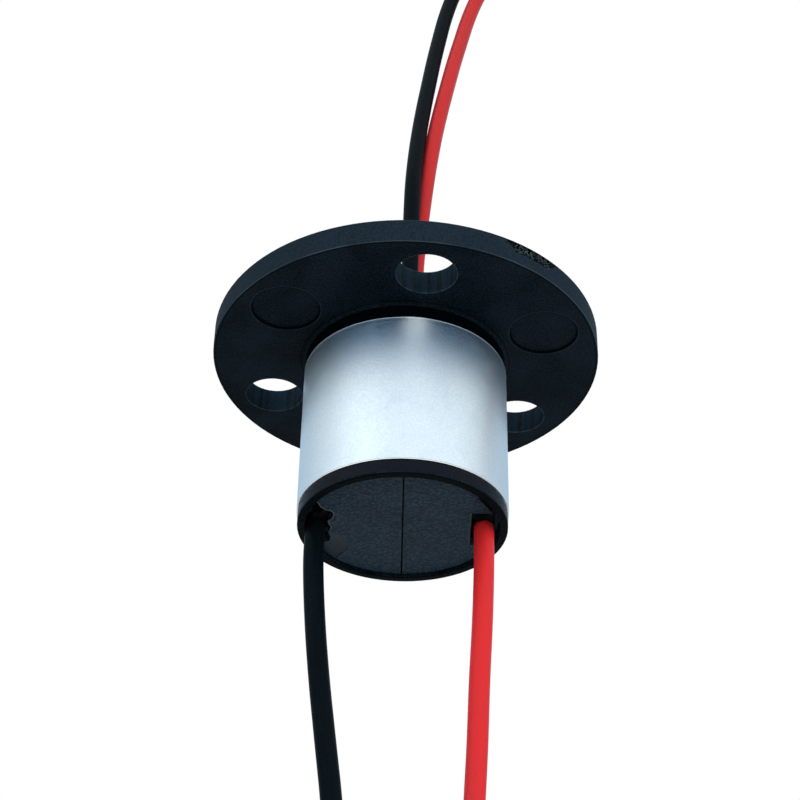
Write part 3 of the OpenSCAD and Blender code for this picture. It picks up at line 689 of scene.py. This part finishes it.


# Lead sizes in millimetres: the gap between a hank's turns and its half width at the tie, the
# last straight run, the bare tip and its thickness, and the insulation
LANE, WAIST = 0.05, 1.6
TAIL, TIP, CORE = 5.0, 5.0, 0.72
STATOR_D, ROTOR_D = 1.2, 1.1
LEADS = {
    "stator_lead_black": {
        "finish": "lead_black", "diameter": STATOR_D, "steps": 3, "side": -1,
        "hank": Hank(0.3, -0.35, -37, 3.6, 21, 3, -(STATOR_D + LANE)),
        "route": [(-5.1, .2, -10.8), (-5.15, .2, -14), (-4.9, .2, -17.8), (-4.5, .2, -21.6),
                  (-4, .1, -25.4), (-3.5, 0, -29.2), (-3.2, -.2, -33), (-3.3, -.35, -37)]},
    "stator_lead_red": {
        "finish": "lead_red", "diameter": STATOR_D, "steps": 3, "side": 1,
        "hank": Hank(0.3, 0.95, -37, 3.6, 21, 3, STATOR_D + LANE),
        "route": [(4.8, .2, -10.8), (4.78, .2, -14), (4.65, .2, -17.8), (4.45, .2, -21.6),
                  (4.3, .3, -25.4), (4.1, .5, -29.2), (3.95, .75, -33), (3.9, .95, -37)]},
    "rotor_lead_black": {
        "finish": "lead_black_thin", "diameter": ROTOR_D, "steps": 2, "side": -1,
        "hank": Hank(36.8, 4.4, 38, 3.3, 22, 2, -(ROTOR_D + LANE)),
        "route": [(.17, -.54, 4.4), (.2, -.52, 9), (.29, -.02, 15), (.68, 1.23, 21), (1.33, 2.53, 27),
                  (2.1, 3.85, 33), (3.2, 5, 39), (5.4, 5.8, 45), (9.4, 6.2, 50.6), (15.2, 6.2, 54.6),
                  (22, 5.9, 55.2), (28.2, 5.5, 52), (32.4, 4.9, 47), (33.9, 4.5, 42), (33.5, 4.4, 38)]},
    "rotor_lead_red": {
        "finish": "lead_red_thin_shaded", "diameter": ROTOR_D, "steps": 2, "side": -1,
        "hank": Hank(36.8, 5.6, 38, 3.3, 22, 2, ROTOR_D + LANE),
        "route": [(.42, .57, 4.4), (.6, .58, 9), (1.1, .82, 15), (1.76, 1.64, 21), (2.67, 2.75, 27),
                  (3.7, 4.05, 33), (5.05, 5.2, 39), (7.4, 6, 44.4), (11, 6.4, 49.2), (16, 6.5, 52.3),
                  (21.8, 6.4, 52.6), (27, 6.2, 49.8), (30.8, 5.9, 45.6), (32.8, 5.6, 41.8),
                  (33.5, 5.6, 38)]},
}


def tip_pattern():
    """Twisted strands of a tinned conductor, standing on the origin."""
    p = Pattern("tinned_tip", {"Radius": 0.36 * MM, "Length": 5.0 * MM, "Strands": 7})
    strand = p.read("Radius") / 2.9
    spiral = p.node("GeometryNodeCurveSpiral", None, {
        "Resolution": 24, "Rotations": 0.9, "Start Radius": p.read("Radius") - strand,
        "End Radius": p.read("Radius") - strand, "Height": p.read("Length")})
    spots = p.node("GeometryNodePoints", None, {"Count": p.read("Strands")})
    turn = p.node("GeometryNodeInputIndex") * (2 * math.pi) / p.read("Strands")
    turn = p.node("ShaderNodeCombineXYZ", None, {"Z": turn})
    bundle = p.node("GeometryNodeInstanceOnPoints", None,
                    {"Points": spots, "Instance": spiral, "Rotation": turn})
    bundle = p.node("GeometryNodeRealizeInstances", None, {0: bundle})
    ring = p.node("GeometryNodeCurvePrimitiveCircle", {"mode": "RADIUS"},
                  {"Resolution": 12, "Radius": strand})
    strands = p.node("GeometryNodeCurveToMesh", None,
                     {"Curve": bundle, "Profile Curve": ring, "Fill Caps": True})
    p.end(strands)
    return p


def strap_pattern():
    """A flat nylon strap along the start mesh, with fine teeth across its left face."""
    p = Pattern("tie_strap", {
        "Width": 2.2 * MM, "Thickness": 0.5 * MM, "Pitch": 0.3 * MM, "Tooth": 0.04 * MM})
    line = p.node("GeometryNodeMeshToCurve", None, {"Mesh": p.read("Geometry")})
    line = p.node("GeometryNodeSetCurveNormal", {"mode": "Z_UP"}, {"Curve": line})
    section = p.node("GeometryNodeCurvePrimitiveQuadrilateral", None,
                     {"Width": p.read("Thickness"), "Height": p.read("Width")})
    section = p.node("GeometryNodeFilletCurve", {"mode": "POLY"}, {
        "Curve": section, "Radius": p.read("Thickness") * 0.32, "Limit Radius": True, "Count": 3})
    strap = p.node("GeometryNodeCurveToMesh", None,
                   {"Curve": line, "Profile Curve": section, "Fill Caps": True})
    marks = p.node("GeometryNodeResampleCurve", {"mode": "LENGTH"},
                   {"Curve": line, "Length": p.read("Pitch")})
    spots = p.node("GeometryNodeCurveToPoints", {"mode": "EVALUATED"}, {"Curve": marks})
    turns = spots.socket.node.outputs["Rotation"]
    size = p.node("ShaderNodeCombineXYZ", None, {
        "X": p.read("Tooth") * 2, "Y": p.read("Width") * 0.6, "Z": p.read("Pitch") * 0.4})
    face = p.node("ShaderNodeCombineXYZ", None, {"X": p.read("Thickness") * -0.5})
    tooth = p.node("GeometryNodeMeshCube", None, {"Size": size})
    tooth = p.node("GeometryNodeTransform", None, {"Geometry": tooth, "Translation": face})
    teeth = p.node("GeometryNodeInstanceOnPoints", None, {
        "Points": spots, "Instance": tooth, "Rotation": Value(p, turns)})
    p.end(p.node("GeometryNodeJoinGeometry", None, {0: [strap, teeth]}))
    return p


def tie_head(name, low, high):
    """The tie's head: a block with eased edges, a deep window and the pawl in it."""
    middle, size = (low + high) / 2, high - low
    bm = bmesh.new()
    bmesh.ops.create_cube(bm, size=1, matrix=Matrix.Diagonal((*size, 1)))
    front = next(f for f in bm.faces if f.normal.y < -0.9)
    bmesh.ops.inset_region(bm, faces=[front], thickness=0.75 * MM)
    pushed = bmesh.ops.extrude_discrete_faces(bm, faces=[front])["faces"]
    bmesh.ops.translate(bm, verts=pushed[0].verts[:], vec=(0, 0.7 * MM, 0))
    bmesh.ops.bevel(bm, geom=bm.edges[:], offset=0.14 * MM, segments=3, profile=0.6, affect="EDGES")
    pawl_at = Matrix.Translation((0.2 * MM, -size.y / 2 + 0.5 * MM, 0))
    pawl_size = Matrix.Diagonal((0.7 * MM, 0.5 * MM, size.z * 0.4, 1))
    bmesh.ops.create_cube(bm, size=1, matrix=pawl_at @ pawl_size)
    bmesh.ops.recalc_face_normals(bm, faces=bm.faces[:])
    mesh = bpy.data.meshes.new(name)
    bm.to_mesh(mesh)
    bm.free()
    mesh.transform(Matrix.Translation(middle))
    mesh.materials.append(FINISHES["tie_nylon"].material)
    return add(name, mesh)


def make_tie(pair, strap):
    """Nylon tie round a pair of hanks, in the CAD tie's place: toothed strap, tail and head."""
    low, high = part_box(pair + "_hank_tie")
    x, z = (low.x + high.x) / 2, (low.z + high.z) / 2
    nylon, thick, bend = FINISHES["tie_nylon"], 0.5 * MM, 0.75 * MM
    head_half, head_depth = 1.6 * MM, 1.96 * MM
    lead_r = LEADS[pair + "_lead_black"]["diameter"] / 2 * MM
    side = WAIST * MM + lead_r + 0.12 * MM + thick / 2 - bend
    near, far = low.y + 2 * MM - thick / 2 + bend, high.y - 0.6 * MM + thick / 2 - bend
    loop = []
    for cx, cy, start in ((side, far, 0), (-side, far, 90), (-side, near, 180), (side, near, 270)):
        loop += [(x + cx + bend * math.cos(a), cy + bend * math.sin(a), z)
                 for a in (math.radians(start + 15 * k) for k in range(7))]
    through = [(x + tx * MM, low.y + ty * MM, z)
               for tx, ty in ((-1.6, 1.5), (-1, 1.2), (0, 1), (1.2, 1), (2.85, 0.88))]
    made = [strap.grow(pair + "_tie_strap", line_mesh(pair + "_loop", loop, closed=True),
                       nylon, {"Thickness": thick}),
            strap.grow(pair + "_tie_tail", line_mesh(pair + "_tail", through),
                       nylon, {"Thickness": 0.45 * MM, "Width": 2 * MM}),
            tie_head(pair + "_tie_head", Vector((x - head_half, low.y, low.z + 0.05 * MM)),
                     Vector((x + head_half, low.y + head_depth, high.z - 0.05 * MM)))]
    for piece in made:
        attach(piece, pair)
        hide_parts(pair + "_hank_tie")
    return made


def make_leads():
    """Each lead as one sleeve along its route and its hank, with a tinned tip and its pair's tie."""
    sleeve, strands, strap = lead_pattern(), tip_pattern(), strap_pattern()
    ties = {pair: make_tie(pair, strap) for pair in ("stator", "rotor")}
    for name, lead in LEADS.items():
        pair, color = name.split("_lead_")
        path = smooth_route(lead["route"], lead["steps"])[:-1] + lead["hank"].path(lead["side"], TAIL)
        path = [p * MM for p in path]
        diameter = lead["diameter"] * MM
        piece = sleeve.grow(name + "_sleeve", line_mesh(name, path), FINISHES[lead["finish"]],
                            {"Radius": diameter / 2, "Sides": 32})
        smooth(piece.data, 50)
        tip = strands.grow(name + "_tip", line_mesh("end", [(0, 0, 0)]), FINISHES["tinned_copper"],
                           {"Radius": CORE / 2 * MM, "Length": (TIP + 1) * MM})
        tip.data.transform(Matrix.Translation(path[-1] - Vector((0, 0, TIP * MM))))
        smooth(tip.data)
        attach(piece, pair)
        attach(tip, pair)
        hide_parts(name, pair + "_hank_" + color)
        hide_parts(pair + "_lead_ends")
        "lead_" + color
        "hanging" if pair == "stator" else "loose"


make_leads()


# ---------------------------------------------------------------- notch shade fills

def fill_notch_shade():
    """Near-black fill in each lead notch, flat and drawn down round the lead: painted shade for the notch's
    dark depth. Worked in millimetres.
    """
    pools = {
        "left": [(-5.3, -2.0), (-4.9, -2.0), (-4.6, -1.75), (-4.05, -1.4), (-4.15, -0.75), (-4.35, -0.45),
                 (-4.25, 0.1), (-4.45, 0.7), (-4.3, 1.5), (-4.6, 2.05), (-5.3, 2.05)],
        "right": [(5.4, -1.6), (4.05, -1.62), (4.05, 1.92), (5.4, 1.92)]}
    top_z, foot_z = PLATE_Z / MM + 0.61, PLATE_Z / MM + 0.54
    wall_r, climb, fade = PLATE_R / MM - 0.04, 0.3, 0.22
    for side, outline in pools.items():
        lead = LEADS["stator_lead_black" if side == "left" else "stator_lead_red"]["route"][0]
        bm = bmesh.new()
        bm.faces.new([bm.verts.new((x, y, top_z)) for x, y in outline])
        bmesh.ops.triangulate(bm, faces=bm.faces[:])
        for _ in range(4):
            bmesh.ops.subdivide_edges(bm, edges=bm.edges[:], cuts=1, use_grid_fill=True)
        lower = bmesh.ops.extrude_face_region(bm, geom=bm.faces[:])["geom"]
        for v in (v for v in lower if isinstance(v, bmesh.types.BMVert)):
            near = math.dist(v.co[:2], lead[:2]) - STATOR_D / 2
            drawn = climb * math.exp(-max(near, 0) / fade)
            ripple = 0.02 * math.sin(v.co.x * 9 + v.co.y * 7)
            reach = max(math.hypot(v.co.x, v.co.y) / wall_r, 1)
            v.co = v.co.x / reach, v.co.y / reach, foot_z - drawn - ripple
        bmesh.ops.recalc_face_normals(bm, faces=bm.faces[:])
        mesh = bpy.data.meshes.new("shade_fill_mesh_" + side)
        bm.to_mesh(mesh)
        bm.free()
        mesh.transform(Matrix.Scale(MM, 4))
        mesh.materials.append(FINISHES["potting"].material)
        smooth(mesh)
        shade_fill_piece = add("notch_shade_fill_" + side, mesh)
        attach(shade_fill_piece, "stator")


fill_notch_shade()


# ---------------------------------------------------------------- broken edges

def burr_pattern():
    """A thin ragged bead along the start mesh's edges."""
    p = Pattern("burr", {"Radius": 0.03 * MM, "Size": 0.25 * MM, "Sides": 8})
    line = p.node("GeometryNodeMeshToCurve", None, {"Mesh": p.read("Geometry")})
    line = p.node("GeometryNodeResampleCurve", None, {"Curve": line, "Count": 120})
    lumps = p.node("ShaderNodeTexNoise", None, {"Scale": 1.0 / p.read("Size"), "Detail": 3.0})
    line = p.node("GeometryNodeSetCurveRadius", None,
                  {"Curve": line, "Radius": lumps.rise(0.3, 0.75) + 0.3})
    ring = p.node("GeometryNodeCurvePrimitiveCircle", {"mode": "RADIUS"},
                  {"Resolution": p.read("Sides"), "Radius": p.read("Radius")})
    p.end(p.node("GeometryNodeCurveToMesh", None,
                 {"Curve": line, "Profile Curve": ring, "Fill Caps": True}))
    return p


def edge_burrs():
    """Plastic drawn up where the left notch broke, on the end plate's face, in a lighter plastic whose colour
    is a painted highlight.
    """
    outline = [(-5.02, -2.72), (-4.9, -2.5), (-4.74, -2.05), (-4.46, -1.75), (-4.1, -1.6), (-4, -1.28),
               (-4.13, -0.72), (-4.38, -0.48), (-4.3, -0.14), (-4.2, 0.1), (-4.25, 0.55)]
    edge = line_mesh("notch_edge", [(x * MM, y * MM, PLATE_Z) for x, y in outline])
    piece = burr_pattern().grow("notch_burr", edge, FINISHES["torn_plastic"], {"Radius": 0.035 * MM})
    smooth(piece.data)
    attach(piece, "stator")


def shred_pattern():
    """Angular crumbs strewn over the start mesh, each turned and stretched its own way."""
    p = Pattern("shreds", {"Size": 0.1 * MM, "Density": 4.0e7, "Seed": 3})
    spots = p.node("GeometryNodeDistributePointsOnFaces", None, {
        "Mesh": p.read("Geometry"), "Density": p.read("Density"), "Seed": p.read("Seed")})
    crumb = p.node("GeometryNodeMeshIcoSphere", None, {"Radius": p.read("Size"), "Subdivisions": 1})
    turn = p.node("FunctionNodeRandomValue", {"data_type": "FLOAT_VECTOR"},
                  {0: (0.0, 0.0, 0.0), 1: (6.28, 6.28, 6.28), "Seed": 5})
    stretch = p.node("FunctionNodeRandomValue", {"data_type": "FLOAT_VECTOR"},
                     {0: (0.5, 0.25, 0.2), 1: (1.5, 0.8, 0.6), "Seed": 8})
    p.end(p.node("GeometryNodeInstanceOnPoints", None, {
        "Points": spots, "Instance": crumb, "Rotation": turn, "Scale": stretch}))
    return p


def gate_shreds():
    """Torn plastic that stands in the gate scar, below the rim's surface."""
    columns, rows = 25, 4
    turns = [math.radians(-60.8 + 17.1 * k / (columns - 1)) for k in range(columns)]
    heights = [(0.86 + 0.6 * k / (rows - 1)) * MM for k in range(rows)]
    reach = FLANGE_R - 0.07 * MM
    mesh = bpy.data.meshes.new("gate_patch")
    mesh.from_pydata([(reach * math.cos(t), reach * math.sin(t), h) for t in turns for h in heights], [],
                     [(rows * i + j, rows * (i + 1) + j, rows * (i + 1) + j + 1, rows * i + j + 1)
                      for i in range(columns - 1) for j in range(rows - 1)])
    piece = shred_pattern().grow("gate_shreds", mesh, FINISHES["gate_crumbs"],
                                 {"Size": 0.11 * MM, "Density": 4.5e7})
    for v in piece.data.vertices:
        over = max(math.hypot(v.co.x, v.co.y) / (FLANGE_R - 0.012 * MM), 1)
        v.co.x, v.co.y = v.co.x / over, v.co.y / over
    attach(piece, "stator")


edge_burrs()
gate_shreds()


# ---------------------------------------------------------------- studio

def make_floor():
    """Pale paper well below the part. It is brighter where it is seen than where it lights."""
    floor_z = solid_box[0].z - 0.26
    mesh = bpy.data.meshes.new("floor")
    mesh.from_pydata([(-4, -4, floor_z), (4, -4, floor_z), (4, 4, floor_z), (-4, 4, floor_z)],
                     [], [(0, 1, 2, 3)])
    floor = add("floor", mesh)
    f = Finish("floor_paper", (0.8, 0.8, 0.8), 0.9)
    fibre = f.noise(0.003, 3)
    f.set("Base Color", f.mix(fibre, (0.78, 0.78, 0.78), (0.82, 0.82, 0.82)))
    bright = f.node("ShaderNodeBsdfPrincipled", None, {
        "Base Color": f.mix(fibre, (0.38, 0.38, 0.38), (0.42, 0.42, 0.42)), "Roughness": 0.9,
        "Emission Color": (1, 1, 1, 1), "Emission Strength": 0.66})
    both = f.node("ShaderNodeMixShader", None, {
        0: seen_rays(f), 1: Value(f, f.shader.outputs[0]), 2: bright})
    f.links.new(both.socket, f.surface)
    mesh.materials.append(f.material)


def seen_rays(tree):
    """1 for rays from the camera, off a gloss or through glass, and 0 for light that spreads."""
    camera = tree.node("ShaderNodeLightPath", output="Is Camera Ray")
    rays = camera.socket.node.outputs
    return camera.most(Value(tree, rays["Is Glossy Ray"])).most(Value(tree, rays["Is Transmission Ray"]))


def lamp(name, at, size, energy, spread=math.pi, target=(0, 0, -0.004)):
    """A soft square lamp that lights the part and isn't seen in its gloss."""
    data = bpy.data.lights.new(name, "AREA")
    data.shape, data.size, data.energy, data.spread = "SQUARE", size, energy, spread
    made = add(name, data)
    made.location = at
    made.rotation_euler = (Vector(target) - Vector(at)).to_track_quat("-Z", "Y").to_euler()
    made.visible_glossy = False


def light_world():
    """White where it is seen. Glosses see it brighter in front, in two soft upright bands."""
    world = bpy.data.worlds.new("studio")
    world.use_nodes = True
    scene.world = world
    t = Tree(world.node_tree)
    t.nodes.clear()
    camera = t.node("ShaderNodeLightPath", output="Is Camera Ray")
    fill = t.node("ShaderNodeBackground", None, {"Color": (0.9, 0.96, 1, 1), "Strength": 0.12})

    # turn is the direction round the part in degrees: 0 in front, 90 on the right, 180 behind
    x, y, z = t.split(t.node("ShaderNodeTexCoord"))
    turn = x.maths("ARCTAN2", x, y * -1.0) * (180 / math.pi)
    front = 1 - turn.size().rise(60, 150)
    bands = turn.band(-48, 12, 18) * 0.2 + turn.band(13, 4, 9) * 0.07
    below = 1 - z.rise(-0.5, 0.1)
    behind = turn.size().rise(110, 165)
    aside = turn.size().band(105, 15, 25)
    high = z.rise(0.1, 0.52)
    gloss = (0.7 + front * 0.37 + bands - aside * 0.12) * (1 - below * 0.5) * (1.12 - high * 0.12)
    streaks = turn.size().band(80, 7, 14) * 0.3 + turn.size().band(140, 10, 16) * 0.35
    gloss = gloss * (1 - (1 - high) * streaks)
    tint = t.mix(front, (0.7, 0.88, 1.04), (1.04, 1.03, 0.99))
    tint = t.mix(behind, tint, (0.68, 0.87, 1.08))
    low = t.mix(turn.size().rise(50, 100), (0.43, 0.77, 1.2), (0.76, 0.9, 1.03))
    tint = t.mix(high, low, tint)
    tint = t.mix(camera, tint, (1, 1, 1))
    white = t.node("ShaderNodeBackground", None, {
        "Color": tint, "Strength": gloss + camera * (1 - gloss)})
    both = t.node("ShaderNodeMixShader", None, {0: seen_rays(t), 1: fill, 2: white})
    t.node("ShaderNodeOutputWorld", None, {"Surface": both})


make_floor()
light_world()
lamp("key", (-0.34, -0.30, 0.10), 0.5, 1.6)
lamp("front", (0.06, -0.42, 0.12), 0.4, 0.65)
lamp("side", (0.40, -0.22, 0.0), 0.5, 1.7)
lamp("under", (-0.05, 0.34, -0.17), 0.3, 0.05, math.radians(110))
scene.view_settings.view_transform = "Standard"
